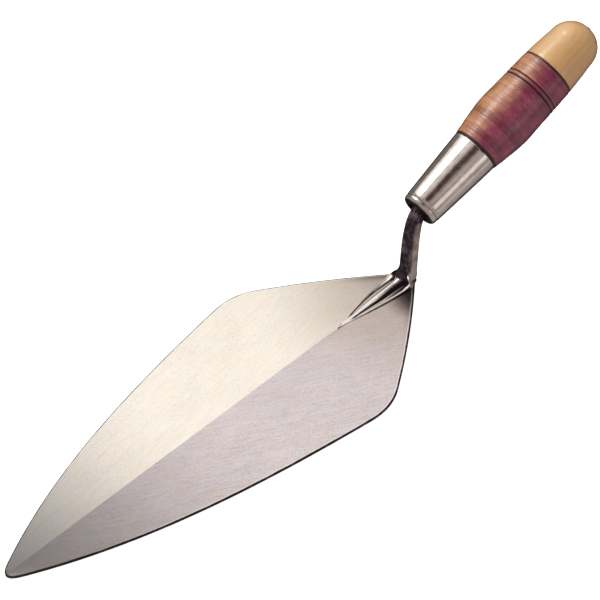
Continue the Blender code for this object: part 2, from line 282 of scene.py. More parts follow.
def plate_height(u, y, half_width):
    """Return the height of the blade's upper face: two facets and a crisp ridge.

    The ridge dips at the tongue's tip, and the facets wave a little away from ridge and rim.
    """
    share = min(1.0, abs(y) / half_width)
    height = mix(ridge_height(u), EDGE_THICKNESS, share)
    hollow = TIP_HOLLOW_DEPTH * bump_curve((u - TIP_HOLLOW_U) / 5.5) * bump_curve(y / 1.5)
    waves = PLATE_WAVE_HEIGHT * math.sin(u * 0.11 + y * 0.05) * math.sin(y * 0.13 + 1.0)
    waves *= ease(share, 0.05, 0.3)
    return height - hollow - waves * (1 - ease(share, 0.8, 1.0))


def plate_ring(u, half_width):
    """Return one closed cross-section of the blade, with small arrises along its rim."""
    arris = min(RIM_ARRIS, half_width * 0.2)
    inner = half_width - arris
    x = HEEL_X - u
    top = []
    for k in range(-PLATE_TOP_STEPS, PLATE_TOP_STEPS + 1):
        y = math.copysign((abs(k) / PLATE_TOP_STEPS) ** PLATE_TOP_CROWDING * inner, k)
        top.append((x, y, plate_height(u, y, half_width)))
    rim = ((half_width, EDGE_THICKNESS - 0.22), (half_width, 0.6), (half_width, 0.15),
           (half_width - 0.15 * min(1, half_width), 0.0))
    far = [(x, y, z) for y, z in rim]
    near = [(x, -y, z) for y, z in reversed(rim)]
    under = [(x, y, 0.0) for y in (inner * 0.5, 0.0, -inner * 0.5)]
    return top + far + under + near


def make_plate():
    """Make the blade's plate as one closed mesh. Material 0 is ground steel, 1 is the rim."""
    rings = [plate_ring(u, half_width) for u, half_width in OUTLINE]
    top_count = 2 * PLATE_TOP_STEPS + 1
    count = len(rings[0])
    rim_faces = set(range(top_count, top_count + 2)) | set(range(count - 3, count - 1))
    return loft("blade_plate", rings, lambda i: 1 if i in rim_faces else 0)


# ---------------------------------------------------------------- tongue, shank and tang

def handle_point(s):
    """Return (x, z) on the handle's axis, s behind the ferrule's mouth, from the heel."""
    return FERRULE_MOUTH + HANDLE_AXIS * s


def shank_point(t):
    """Return (x, z) on the shank's centre line, from the blade at 0 to the ferrule at 1."""
    leave = SHANK_BASE + SHANK_BASE_REACH * Vector((math.cos(SHANK_BASE_LEAN),
                                                    math.sin(SHANK_BASE_LEAN)))
    arrive = handle_point(SHANK_END - SHANK_TOP_REACH)
    return bezier((SHANK_BASE, leave, arrive, handle_point(SHANK_END)), t)


def bar_faces(centre, tangent, depth):
    """Return the front and rear points of a bar's section in the X-Z plane."""
    across = Vector((tangent.y, -tangent.x)).normalized() * depth / 2
    return centre - across, centre + across


def tongue_half_width(u):
    """Return half the width of the spear-shaped foot, which narrows again into the shank."""
    spread = TONGUE_TIP_HALF_WIDTH + TONGUE_SPREAD * (TONGUE_LENGTH - u)
    limit = TONGUE_MAX_HALF_WIDTH - TONGUE_SOFTNESS * math.log1p(
        math.exp((TONGUE_MAX_HALF_WIDTH - spread) / TONGUE_SOFTNESS))
    return min(limit, blade_half_width(u) - 0.7)


def rib_crest(u):
    """Return the height of the rib's crest over the underside."""
    share = 1 - u / TONGUE_LENGTH
    return ridge_height(u) + 0.05 + 1.7 * share + 2.6 * share ** 4


def facet_height(u, y):
    """Return the height of the blade's facet under a point on the foot."""
    return mix(ridge_height(u), EDGE_THICKNESS, min(1.0, abs(y) / blade_half_width(u)))


def rib_height(u):
    """Return how far the rib's crest stands above the foot's shoulders."""
    shoulder = SHOULDER_RISE * (1 - u / TONGUE_LENGTH)
    return rib_crest(u) - facet_height(u, tongue_half_width(u)) - SHOULDER_TIP_HEIGHT - shoulder


def section(front, rear, front_half, rear_half, shape):
    """Return a closed ring between a front and a rear point, as (point, its forge scale and painted
    shade).

    The front side carries the rib and the two hollows beside it; the corners are rounded.
    shape holds the sizes of rib, grooves, lip and corner, and each region's forge scale and painted
    shade.
    Inside, scale and shade is a pair, (far, near), because the two halves differ in their painted
    shade.
    """
    rise = front - rear
    up = rise.normalized()
    plateau = rise.length - shape["rib"]
    corner = min(shape["corner"], front_half * CORNER_SHARE, plateau * CORNER_SHARE)
    flat = front_half - corner
    rib_half = shape["rib_half"]

    def top(y):
        """Return the front side's height over the rear one."""
        rib = shape["rib"] * bump_curve(y / rib_half)
        dip = shape["groove"] * bump_curve((y - rib_half * 1.5) / (rib_half * 0.38))
        lip = shape["lip"] * bump_curve((y - flat + 0.5) / 0.55)
        return plateau + rib - dip + lip

    def scale(y, centre, spread):
        """Return the forge scale, or the painted shade in the hollow beside the rib where that is
        more.
        """
        hollow = bump_curve((y - rib_half * centre) / (rib_half * spread))
        return max(shape["scale"], HOLLOW_SHADE * hollow * shape["hollow_shade"])

    def both(y):
        """Return the forge scale and painted shade of the far and the near half."""
        bare = 1 - shape["bare_edge"] * ease(y, flat - 1.1, flat - 0.1)
        near = scale(y, mix(1.45, 1.65, shape["cove"]), mix(0.65, 1.15, shape["cove"])) * bare
        return Vector((scale(y, 1.35, 0.5), near))

    half_ring = []
    for k in range(FLAT_STEPS + 1):
        y = flat * k / FLAT_STEPS
        half_ring.append((y, top(y), both(y)))
    edge = top(flat) - corner
    side = Vector((shape["side_scale"], shape["side_scale"]))
    low = Vector((shape["scale"], shape["scale"]))
    for k in range(1, TOP_CORNER_STEPS + 1):
        angle = math.pi / 2 * k / TOP_CORNER_STEPS
        half_ring.append((flat + corner * math.sin(angle), edge + corner * math.cos(angle),
                          mix(both(flat), side, k / TOP_CORNER_STEPS)))
    low_corner = min(corner, rear_half * CORNER_SHARE)
    for share in (0.2, 0.4, 0.6, 0.8):
        half_ring.append((mix(front_half, rear_half, share), mix(edge, low_corner, share), side))
    for k in range(LOW_CORNER_STEPS + 1):
        angle = math.pi / 2 * k / LOW_CORNER_STEPS
        half_ring.append((rear_half - low_corner * (1 - math.cos(angle)),
                          low_corner * (1 - math.sin(angle)), mix(side, low, k / LOW_CORNER_STEPS)))
    half_ring += [(rear_half * 0.5, 0.0, low), (0.0, 0.0, low)]

    ring = []
    for sign, part in ((1, half_ring), (-1, half_ring[-2:0:-1])):
        for y, height, scale_and_shade in part:
            place = rear + up * height
            ring.append(((place.x + HEEL_X, sign * y, place.y), scale_and_shade.x if sign > 0 else scale_and_shade.y))
    return ring


def tongue_rings():
    """Return the sections of the foot, square to the blade."""
    rings = []
    for k in range(TONGUE_SECTIONS):
        u = mix(TONGUE_LENGTH, BEND_START, k / TONGUE_SECTIONS)
        share = 1 - u / TONGUE_LENGTH
        half = tongue_half_width(u)
        # Painted shade, at full strength in the hollows close to the tongue's tip.
        tip_shade = bump_curve((share - 0.035) / 0.02)
        shape = {"rib": rib_height(u), "rib_half": min(0.40 * half, RIB_HALF_WIDTH),
                 "groove": GROOVE_DEPTH * ease(share, 0.1, 0.4),
                 "lip": LIP_HEIGHT * ease(share, 0.1, 0.4), "corner": FOOT_CORNER,
                 "scale": 0.0, "side_scale": SIDE_SCALE, "bare_edge": 1.0,
                 "hollow_shade": max(ease(share, 0.05, 0.3), tip_shade),
                 "cove": ease(share, 0.3, 0.72)}
        front, rear = Vector((-u, rib_crest(u))), Vector((-u, FOOT_UNDERSIDE))
        rings.append(section(front, rear, half, half, shape))
    return rings


def bend_rings():
    """Return the sections that turn from the foot up into the shank."""
    tangent = (shank_point(BEND_END + 0.01) - shank_point(BEND_END)).normalized()
    front_end, rear_end = bar_faces(shank_point(BEND_END), tangent, SHANK_DEPTH)
    reach = tangent * BEND_REACH
    front_start = Vector((-BEND_START, rib_crest(BEND_START)))
    rear_start = Vector((-BEND_START, FOOT_UNDERSIDE))
    front = (front_start, front_start + Vector((5.2, 1.0)), front_end - reach, front_end)
    rear = (rear_start, Vector((-0.4, FOOT_UNDERSIDE)), rear_end - reach, rear_end)
    rings = []
    for k in range(BEND_SECTIONS):
        t = k / BEND_SECTIONS
        f, r = bezier(front, t), bezier(rear, t)
        front_half = mix(tongue_half_width(max(-f.x, 5.0)), SHANK_WIDTH / 2, ease(t, 0.12, 0.6))
        rear_half = min(front_half, max(SHANK_WIDTH / 2 - 0.1, blade_half_width(-r.x) - 0.5))
        swell = 0.5 * ease(t, 0.0, 0.3) * (1 - ease(t, 0.3, 0.7))
        scale_and_shade = ease(t, 0.12, 0.28) * mix(BEND_SCALE, SHANK_SCALE, ease(t, 0.5, 1.0))
        shape = {"rib": mix(rib_height(BEND_START), 0.0, ease(t, 0.35, 0.95)) + swell,
                 "rib_half": mix(RIB_HALF_WIDTH, RIB_HALF_WIDTH_IN_BEND, ease(t, 0.1, 0.5)),
                 "groove": mix(GROOVE_DEPTH, 0.0, ease(t, 0.05, 0.3)),
                 "lip": mix(LIP_HEIGHT, 0.0, ease(t, 0.3, 0.7)),
                 "corner": mix(FOOT_CORNER, SHANK_CORNER, ease(t, 0.3, 0.9)),
                 "scale": scale_and_shade, "side_scale": SIDE_SCALE, "bare_edge": 1 - ease(t, 0.5, 1.0),
                 "hollow_shade": 1 - ease(t, 0.6, 1.0), "cove": 1.0}
        rings.append(section(f, r, front_half, rear_half, shape))
    return rings


def shank_rings():
    """Return the bar's sections from the bend to the peened head in the butt."""
    rings = []
    plain = {"rib": 0.0, "rib_half": RIB_HALF_WIDTH, "groove": 0.0, "lip": 0.0,
             "scale": SHANK_SCALE, "bare_edge": 0.0, "hollow_shade": 0.0, "cove": 1.0}
    for t in even_steps(BEND_END, 1.0, SHANK_SECTIONS):
        tangent = shank_point(t + 0.005) - shank_point(t - 0.005)
        width = mix(SHANK_WIDTH, TANG_WIDTH_FRONT, t ** 2)
        depth = mix(SHANK_DEPTH, TANG_WIDTH_FRONT, t ** 9)
        f, r = bar_faces(shank_point(t), tangent, depth)
        shape = plain | {"corner": mix(SHANK_CORNER, TANG_CORNER, t ** 4),
                         "side_scale": SIDE_SCALE + (1 - SIDE_SCALE) * ease(t, 0.6, 0.85)}
        rings.append(section(f, r, width / 2, width / 2, shape))
    stations = [(s, mix(TANG_WIDTH_FRONT, TANG_WIDTH_REAR, s / PEEN_START))
                for s in (4.5, 6.0, 23.0, 48.0, 73.0, 98.0, PEEN_START)]
    stations += [(PEEN_START + rise, PEEN_RADIUS * width)
                 for rise, width in ((0.02, 1.9), (0.2, 2.0), (0.45, 1.86), (0.75, 1.4),
                                     (0.93, 0.8), (1.0, 0.2))]
    for s, width in stations:
        f, r = bar_faces(handle_point(s), HANDLE_AXIS, width)
        shape = plain | {"corner": width * 0.4, "side_scale": 1.0}
        rings.append(section(f, r, width / 2, width / 2, shape))
    return rings


def make_bar():
    """Make the foot, shank and tang as one closed mesh, and give each point's forge scale and
    painted shade.
    """
    rings = tongue_rings() + bend_rings() + shank_rings()
    bar = loft("blade_bar", [[point for point, _ in ring] for ring in rings], lambda i: 2)
    return bar, [value for ring in rings for _, value in ring]


def mark_points(mesh, name, values):
    """Store one value per point of a mesh."""
    layer = mesh.attributes.new(name, "FLOAT", "POINT")
    for item, value in zip(layer.data, values):
        item.value = value


def mark_rim_distance(mesh):
    """Store each point's distance to the blade's rim, in metres, for the painted shade and highlight
    along the edge.
    """
    distances = []
    for vert in mesh.vertices:
        u = HEEL_X - vert.co.x / MM
        across = blade_half_width(u) - abs(vert.co.y) / MM
        slope = (blade_half_width(u + 1) - blade_half_width(u - 1)) / 2
        distances.append(max(0.0, across / math.sqrt(1 + slope * slope)) * MM)
    mark_points(mesh, "rim_distance", distances)


def make_forging(materials):
    """Fuse plate and bar into the one forging that they are.

    The union drops the bar's values, so each of its points looks them up again by place.
    """
    plate = make_plate()
    bar, scale_and_shade = make_bar()
    lookup = KDTree(len(scale_and_shade))
    for index, vert in enumerate(bar.data.vertices):
        lookup.insert(vert.co, index)
    lookup.balance()
    for obj in (plate, bar):
        for material in materials:
            obj.data.materials.append(material)
    fuse = plate.modifiers.new("fuse", "BOOLEAN")
    fuse.operation = "UNION"
    fuse.solver = "EXACT"
    fuse.object = bar
    graph = bpy.context.evaluated_depsgraph_get()
    mesh = bpy.data.meshes.new_from_object(plate.evaluated_get(graph))
    mesh.name = "trowel_forging"
    forging = bpy.data.objects.new("trowel_forging", mesh)
    bpy.context.scene.collection.objects.link(forging)
    for obj in (plate, bar):
        bpy.data.objects.remove(obj, do_unlink=True)
    nearest = [lookup.find(vert.co) for vert in mesh.vertices]
    mark_points(mesh, "scale_and_shade", [scale_and_shade[index] if gap < SAME_POINT else 0.0
                                 for _, index, gap in nearest])
    mark_rim_distance(mesh)
    mesh.shade_smooth()
    mesh.set_sharp_from_angle(angle=FORGING_SHARP_ANGLE)
    finish_piece(forging, "forged_steel", "blade_forging")


def finish_piece(piece, slot, *nodes):
    """Ride a piece on the part's body, and hide the part's nodes that it stands in for."""
    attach(piece, BODY)
    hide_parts(*nodes)


# ---------------------------------------------------------------- handle

HANDLE_MATRIX = Matrix.Translation(Vector((FERRULE_MOUTH.x + HEEL_X, 0, FERRULE_MOUTH.y)) * MM) \
    @ Matrix.Rotation(math.pi / 2 - HANDLE_TILT, 4, "Y")


def grip_radius(s):
    """Return the handle's turned radius, eased through the grip's stations."""
    if s >= CAP_SHOULDER:
        share = min(1.0, (s - CAP_SHOULDER) / CAP_DOME_LENGTH)
        return CAP_SHOULDER_RADIUS * (1 - share ** CAP_DOME_FULLNESS) ** (1 / CAP_DOME_FULLNESS)
    last = len(GRIP_STATIONS) - 1
    k = next(i for i in range(last) if s <= GRIP_STATIONS[i + 1][0])
    s0, r0 = GRIP_STATIONS[k]
    s1, r1 = GRIP_STATIONS[k + 1]
    before = GRIP_STATIONS[max(k - 1, 0)]
    after = GRIP_STATIONS[min(k + 2, last)]
    slope0 = (r1 - before[1]) / (s1 - before[0])
    slope1 = (after[1] - r0) / (after[0] - s0)
    t = (s - s0) / (s1 - s0)
    span = s1 - s0
    return ((2 * t ** 3 - 3 * t * t + 1) * r0 + (t ** 3 - 2 * t * t + t) * span * slope0
            + (3 * t * t - 2 * t ** 3) * r1 + (t ** 3 - t * t) * span * slope1)


def turned(name, outline, material, wobble=None):
    """Turn a closed outline of (radius, s) round the handle's axis into an object.

    wobble(angle, s) is added to the radius of the outer points only.
    """
    bm = bmesh.new()
    rows = []
    for i in range(ROUND_SEGMENTS):
        angle = 2 * math.pi * i / ROUND_SEGMENTS
        row = []
        for r, s in outline:
            radius = r + (wobble(angle, s) if wobble and r > STACK_BORE_RADIUS + 1 else 0.0)
            row.append(bm.verts.new(Vector((radius * math.cos(angle), radius * math.sin(angle), s))
                                    * MM))
        rows.append(row)
    count = len(outline)
    for i in range(ROUND_SEGMENTS):
        near, far = rows[i], rows[(i + 1) % ROUND_SEGMENTS]
        for k in range(count):
            n = (k + 1) % count
            bm.faces.new((near[k], near[n], far[n], far[k]))
    bmesh.ops.recalc_face_normals(bm, faces=bm.faces)
    bmesh.ops.transform(bm, matrix=HANDLE_MATRIX, verts=bm.verts)
    obj = object_from_bmesh(name, bm)
    obj.data.materials.append(material)
    return obj


def make_ferrule(material):
    """Make the tapered sleeve: a rolled mouth, a faint bead line behind it and a soft rear edge."""
    hole = FERRULE_HOLE_RADIUS
    mouth = [(hole, FERRULE_WALL), (hole, 0.5), (hole + 0.1, 0.2), (hole + 0.4, 0.04),
             (hole + 0.9, 0.0), (8.2, 0.05), (8.9, 0.28), (9.5, 0.7), (9.95, 1.25), (10.2, 1.9),
             (10.32, 2.7), (10.36, 3.2), (10.2, FERRULE_BEAD), (10.36, 3.8), (10.5, 4.1)]
    slope = (FERRULE_REAR_RADIUS - FERRULE_MOUTH_RADIUS) / (FERRULE_LENGTH - 3.6)
    sleeve = [(FERRULE_MOUTH_RADIUS + slope * (s - 3.6), s)
              for s in (6.0, 12.0, 18.0, 24.0, 30.0, 36.0, 42.0, 43.5)]
    rear = [(FERRULE_REAR_RADIUS - 0.1, FERRULE_LENGTH - 0.1),
            (FERRULE_REAR_RADIUS - 0.3, FERRULE_LENGTH),
            (FERRULE_REAR_RADIUS - FERRULE_WALL, FERRULE_LENGTH)]
    inner = [(FERRULE_MOUTH_RADIUS - FERRULE_WALL, 4.0), (8.6, 2.0), (7.9, FERRULE_WALL)]

    def wobble(angle, s):
        """Return small dents and a slight ovalness."""
        dent = 0.05 * bump_curve((s - 42.5) / 2.5) * math.sin(3 * angle + 0.7)
        return dent + 0.03 * math.sin(2 * angle + s * 0.12)

    ferrule = turned("ferrule_sleeve", mouth + sleeve + rear + inner, material, wobble)
    finish_piece(ferrule, "ferrule_steel", "ferrule")


def make_spacer(name, node, start, material):
    """Make a thin fibre washer that starts at s = start."""
    end = start + SPACER_THICKNESS
    outline = [(STACK_BORE_RADIUS, start), (grip_radius(start) - 0.35, start),
               (grip_radius(start) - 0.15, start + 0.12), (grip_radius(end) - 0.12, end - 0.12),
               (grip_radius(end) - 0.3, end), (STACK_BORE_RADIUS, end)]
    finish_piece(turned(name, outline, material), "fibre", node)


def leather_depth(s, joint):
    """Return how far the grip's surface sinks at s below the turned curve."""
    grooves = sum(GROOVE_CUT * bump_curve((s - g) / GROOVE_HALF_WIDTH) for g in GROOVES)
    return grooves + JOINT_DIP * bump_curve((s - joint) / JOINT_HALF_WIDTH)


def make_leather_stack(material):
    """Make the leather washers, a hair apart, with a shallow dip at each joint."""
    for k in range(LEATHER_WASHERS):
        start = STACK_START + k * WASHER_PITCH
        end = start + WASHER_PITCH - CLEARANCE / 2
        rim = []
        for s in even_steps(start, end, 19):
            joint = start if s - start < end - s else end
            rim.append((grip_radius(s) - leather_depth(s, joint), s))
        outline = [(STACK_BORE_RADIUS, start)] + rim + [(STACK_BORE_RADIUS, end)]

        def wobble(angle, s, k=k):
            """Return each washer's own slight runout and unevenness."""
            runout = 0.035 * math.sin(angle + k * 2.4) + 0.02 * math.sin(2 * angle + k * 1.3)
            return runout + 0.02 * math.sin(5 * angle + 3 * s + k)

        washer = turned(f"leather_ring_{k + 1:02d}", outline, material, wobble)
        finish_piece(washer, "leather", f"leather_washer_{k + 1:02d}")


def make_butt_cap(material):
    """Make the domed wooden cap with an eased front edge and a recess for the washer."""
    start = CAP_START - SPACER_GAP + CLEARANCE
    outline = [(CAP_BORE_RADIUS, start), (grip_radius(CAP_START) - 0.4, start),
               (grip_radius(CAP_START) - 0.12, start + 0.12),
               (grip_radius(CAP_START), start + 0.45)]
    outline += [(grip_radius(s), s) for s in even_steps(CAP_START + 1.2, CAP_SHOULDER, 16)]
    power = 2 / CAP_DOME_FULLNESS
    end_angle = math.acos((CAP_FLAT_RADIUS / CAP_SHOULDER_RADIUS) ** (1 / power))
    for angle in even_steps(0, end_angle, 22)[1:]:
        outline.append((CAP_SHOULDER_RADIUS * math.cos(angle) ** power,
                        CAP_SHOULDER + CAP_DOME_LENGTH * math.sin(angle) ** power))
    flat = outline[-1][1]
    outline += [(RECESS_RADIUS + 0.2, flat + 0.02), (RECESS_RADIUS, flat - 0.2),
                (RECESS_RADIUS, RECESS_FLOOR), (CAP_BORE_RADIUS, RECESS_FLOOR)]
    finish_piece(turned("butt_cap_turned", outline, material), "cap_wood", "butt_cap")


def make_butt_washer(material):
    """Make the small steel washer under the peened end of the tang."""
    start, end = RECESS_FLOOR + CLEARANCE, PEEN_START - CLEARANCE
    hole = TANG_WIDTH_REAR / 2 + 0.4
    outline = [(hole, start), (BUTT_WASHER_RADIUS - 0.1, start), (BUTT_WASHER_RADIUS, start + 0.1),
               (BUTT_WASHER_RADIUS, end - 0.35), (BUTT_WASHER_RADIUS - 0.15, end - 0.12),
               (BUTT_WASHER_RADIUS - 0.4, end), (hole, end)]
    finish_piece(turned("butt_washer_turned", outline, material), "burr_steel", "butt_washer")


# ---------------------------------------------------------------- materials

# Distances in the materials are in metres, as their coordinates are.
TOE_X = (HEEL_X - BLADE_LENGTH) * MM
TOE_END = TOE_X - 0.005
FAR_TOE_FADE = 0.125
NEAR_TOE_FADE = 0.15
RIDGE_SOFTNESS = 0.0002
HEEL_SHADE_CENTRE = 0.005
SHANK_SHADE_BACK = 0.009
SHANK_SHADE_ACROSS = 0.011
RIM_UNEVENNESS = 0.0007
FLUSH_START = 0.122
FLUSH_END = 0.133
# The side of the leather that is painted pale, as lit, as shares of the handle's own -X and +Y.
LIT_SIDE = Vector((0.84, 0.54))


class Nodes:
    """A short way to build a material's or a world's nodes.

    Each call adds a node, links or sets what it is given, and returns the node's output.
    """

    def __init__(self, owner, shader="Principled BSDF"):
        owner.use_nodes = True
        self.owner = owner
        self.tree = owner.node_tree
        self.shader = self.tree.nodes[shader]

    def put(self, socket, value):
        """Link an output to a socket, or set the socket's own value."""
        if isinstance(value, bpy.types.NodeSocket):
            self.tree.links.new(value, socket)
        else:
            socket.default_value = value

    def add(self, kind, settings=None, **inputs):
        """Return a new node, with its settings and its inputs by name (or _0, _1 by number)."""
        node = self.tree.nodes.new(kind)
        for key, value in (settings or {}).items():
            setattr(node, key, value)
        for key, value in inputs.items():
            socket = node.inputs[int(key[1:])] if key[0] == "_" else node.inputs[key]
            self.put(socket, value)
        return node

    def coords(self):
        """Return the part's own coordinates, in metres."""
        return self.add("ShaderNodeTexCoord").outputs["Object"]

    def handle_coords(self):
        """Return coordinates along the handle: Z runs back from the ferrule's mouth."""
        place, turn, _ = HANDLE_MATRIX.decompose()
        return self.add("ShaderNodeMapping", {"vector_type": "TEXTURE"}, Vector=self.coords(),
                        Location=place, Rotation=turn.to_euler()).outputs[0]

    def attribute(self, name):
        """Return a value stored on the mesh."""
        return self.add("ShaderNodeAttribute", {"attribute_name": name}).outputs["Fac"]

    def axes(self, vector):
        """Return the X, Y and Z of a vector."""
        return self.add("ShaderNodeSeparateXYZ", _0=vector).outputs

    def vector(self, x, y, z):
        """Return a vector made of three values."""
        return self.add("ShaderNodeCombineXYZ", _0=x, _1=y, _2=z).outputs[0]

    def math(self, operation, a, b=0.0, clamp=False):
        """Return a math node's value."""
        return self.add("ShaderNodeMath", {"operation": operation, "use_clamp": clamp},
                        _0=a, _1=b).outputs[0]

    def swing(self, value, amount):
        """Return how far a value lies from a half, times an amount."""
        return self.math("MULTIPLY", self.math("SUBTRACT", value, 0.5), amount)

    def gap(self, value, centre):
        """Return how far a value lies from a centre, on either side."""
        return self.math("ABSOLUTE", self.math("SUBTRACT", value, centre))

    def weigh(self, *pairs):
        """Return the sum of values, each times its own weight."""
        total = self.math("MULTIPLY", *pairs[0])
        for pair in pairs[1:]:
            total = self.math("ADD", total, self.math("MULTIPLY", *pair))
        return total

    def length(self, a, b):
        """Return the length of the flat vector (a, b)."""
        return self.add("ShaderNodeVectorMath", {"operation": "LENGTH"},
                        _0=self.vector(a, b, 0.0)).outputs["Value"]

    def ramp(self, value, low, high, out_low=0.0, out_high=1.0):
        """Return a smooth step of a value from low to high."""
        node = self.add("ShaderNodeMapRange", {"interpolation_type": "SMOOTHSTEP"})
        for index, item in enumerate((value, low, high, out_low, out_high)):
            self.put(node.inputs[index], item)
        return node.outputs[0]

    def noise(self, vector, scale, detail=3.0, roughness=0.55):
        """Return a noise value."""
        return self.add("ShaderNodeTexNoise", Vector=vector, Scale=scale, Detail=detail,
                        Roughness=roughness).outputs["Fac"]

    def turn(self, vector, degrees, scale):
        """Return a vector turned about Z and then stretched."""
        about_z = self.add("ShaderNodeMapping", Vector=vector,
                           Rotation=(0, 0, math.radians(degrees))).outputs[0]
        return self.add("ShaderNodeMapping", Vector=about_z, Scale=scale).outputs[0]

    def blend(self, share, a, b, mode="MIX"):
        """Return a mix of two colours."""
        node = self.add("ShaderNodeMix", {"data_type": "RGBA", "blend_type": mode})
        self.put(node.inputs[0], share)
        self.put(node.inputs[6], a)
        self.put(node.inputs[7], b)
        return node.outputs[2]

    def bump(self, height, strength, distance):
        """Return a bumped normal."""
        return self.add("ShaderNodeBump", Strength=strength, Distance=distance,
                        Height=height).outputs[0]

    def finish(self, **inputs):
        """Feed the shader by socket name, with underscores for spaces, and return the owner."""
        for key, value in inputs.items():
            self.put(self.shader.inputs[key.replace("_", " ")], value)
        return self.owner


def new_material(name):
    """Return the nodes of a new material."""
    return Nodes(bpy.data.materials.new(name))


def rgb(red, green, blue):
    """Return a linear colour with alpha."""
    return (red, green, blue, 1.0)


def streaks(n, place, degrees, fine, along):
    """Return fine parallel grinding streaks at an angle to the ridge."""
    wide = n.noise(n.turn(place, -degrees, (along, fine * 0.35, fine * 0.35)), 1.0, 4.0, 0.65)
    thin = n.noise(n.turn(place, -degrees, (along * 3, fine, fine)), 1.0, 3.0, 0.6)
    return n.weigh((wide, 0.55), (thin, 0.45))


def ground_steel():
    """Blade faces: ground steel, streaked at its own angle on each facet, with a painted dark line
    along the rim and a painted highlight inside it.

    Painted light throughout: the far facet is lighter than the near one and the toe is darker, and
    painted shade darkens the heel and the corner beside the shank.
    """
    n = new_material("ground_steel")
    place = n.coords()
    x, y, _ = n.axes(place)
    far_side = n.ramp(y, -RIDGE_SOFTNESS, RIDGE_SOFTNESS)
    far_streaks = streaks(n, place, 9.0, 1400.0, 50.0)
    near_streaks = streaks(n, place, -34.0, 1400.0, 50.0)
    streak = n.weigh((far_streaks, far_side), (near_streaks, n.math("SUBTRACT", 1.0, far_side)))
    cloud = n.noise(place, 38.0, 4.0)
    grain = n.noise(place, 900.0, 2.0)
    tone = n.math("ADD", n.swing(streak, 1.1), n.swing(cloud, 0.5))
    tone = n.math("ADD", tone, n.swing(grain, 1.2))
    tone = n.math("ADD", tone, 0.5, clamp=True)
    # Painted light: the far facet's colour is lighter and warmer than the near facet's greyer lilac
    # one, standing in for the brighter reflection it catches.
    far_colour = n.blend(tone, rgb(0.78, 0.73, 0.65), rgb(0.97, 0.93, 0.88))
    near_colour = n.blend(tone, rgb(0.49, 0.44, 0.46), rgb(0.74, 0.68, 0.71))
    # Painted shade: both facets darken towards the toe, standing in for the light falling off there.
    far_toe_shade = n.ramp(x, TOE_X + FAR_TOE_FADE, TOE_END)
    near_toe_shade = n.ramp(x, TOE_X + NEAR_TOE_FADE, TOE_END)
    far_colour = n.blend(far_toe_shade, far_colour, rgb(0.22, 0.21, 0.22))
    near_colour = n.blend(near_toe_shade, near_colour, rgb(0.155, 0.145, 0.15))
    colour = n.blend(far_side, near_colour, far_colour)
    across = n.math("ABSOLUTE", y)
    back = n.math("SUBTRACT", HEEL_X * MM, x)
    reach = n.length(n.math("SUBTRACT", back, HEEL_SHADE_CENTRE), across)
    # Painted shade over the heel, darkest near its middle and fading out some 85 mm from it.
    colour = n.blend(n.ramp(reach, 0.085, 0.02, 0.0, 0.68), colour, rgb(0.40, 0.33, 0.28))
    # Painted shade beside the shank's foot: a near-black patch on the blade, stronger on the near
    # half.
    shank_shade = n.length(n.math("SUBTRACT", back, SHANK_SHADE_BACK), n.math("SUBTRACT", across, SHANK_SHADE_ACROSS))
    shank_shade = n.math("ADD", shank_shade, n.swing(cloud, 0.01))
    near_half = n.ramp(y, 0.001, -0.001, 0.3, 1.0)
    shank_shade = n.math("MULTIPLY", n.ramp(shank_shade, 0.023, 0.004, 0.0, 0.98), near_half)
    colour = n.blend(shank_shade, colour, rgb(0.02, 0.012, 0.018))
    # Painted shade along the rim near the heel.
    heel_rim_shade = n.math("MULTIPLY", n.ramp(n.attribute("rim_distance"), 0.006, 0.0005),
                   n.ramp(reach, 0.045, 0.01, 0.0, 0.75))
    colour = n.blend(heel_rim_shade, colour, rgb(0.05, 0.035, 0.04))
    warm = n.ramp(n.noise(place, 60.0, 3.0), 0.38, 0.66, 0.0, 0.75)
    colour = n.blend(warm, colour, rgb(1.03, 0.985, 0.93), "MULTIPLY")
    distance = rim_distance(n, place)
    # Painted highlight: a bright line just inside the rim, for the ground arris catching light, left
    # off near the toe.
    arris = n.math("MULTIPLY", n.ramp(distance, 0.0006, 0.0008), n.ramp(distance, 0.0014, 0.0010))
    arris = n.math("MULTIPLY", arris, n.ramp(x, TOE_X + 0.03, TOE_X + 0.1, 0.0, 0.5))
    colour = n.blend(arris, colour, rgb(1.0, 0.97, 0.93))
    # Painted shade: a dark line along the rim, for the dark outline the edge shows.
    colour = n.blend(n.ramp(distance, 0.0005, 0.0009, 1.0, 0.0), colour, rgb(0.03, 0.026, 0.026))
    roughness = n.ramp(streak, 0.3, 0.7, 0.24, 0.36)
    return n.finish(Base_Color=colour, Metallic=1.0, Roughness=roughness,
                    Normal=n.bump(streak, 0.10, 0.0001))


def rim_distance(n, place):
    """Return the distance to the blade's rim, made uneven by noise."""
    uneven = n.swing(n.noise(place, 130.0, 4.0), RIM_UNEVENNESS)
    return n.math("ADD", n.attribute("rim_distance"), uneven)


def rim_steel():
    """The blade's sheared rim: painted dark, as shade for the edge's dark outline, with a few bright
    nicks.
    """
    n = new_material("rim_steel")
    place = n.coords()
    speck = n.noise(place, 260.0, 3.0)
    # Painted shade: the rim's face is dark for the outline along the edge.
    colour = n.blend(n.ramp(speck, 0.5, 0.72), rgb(0.07, 0.06, 0.06), rgb(0.30, 0.28, 0.26))
    return n.finish(Base_Color=colour, Metallic=1.0, Roughness=n.ramp(speck, 0.3, 0.7, 0.42, 0.6),
                    Normal=n.bump(speck, 0.2, 0.0002))


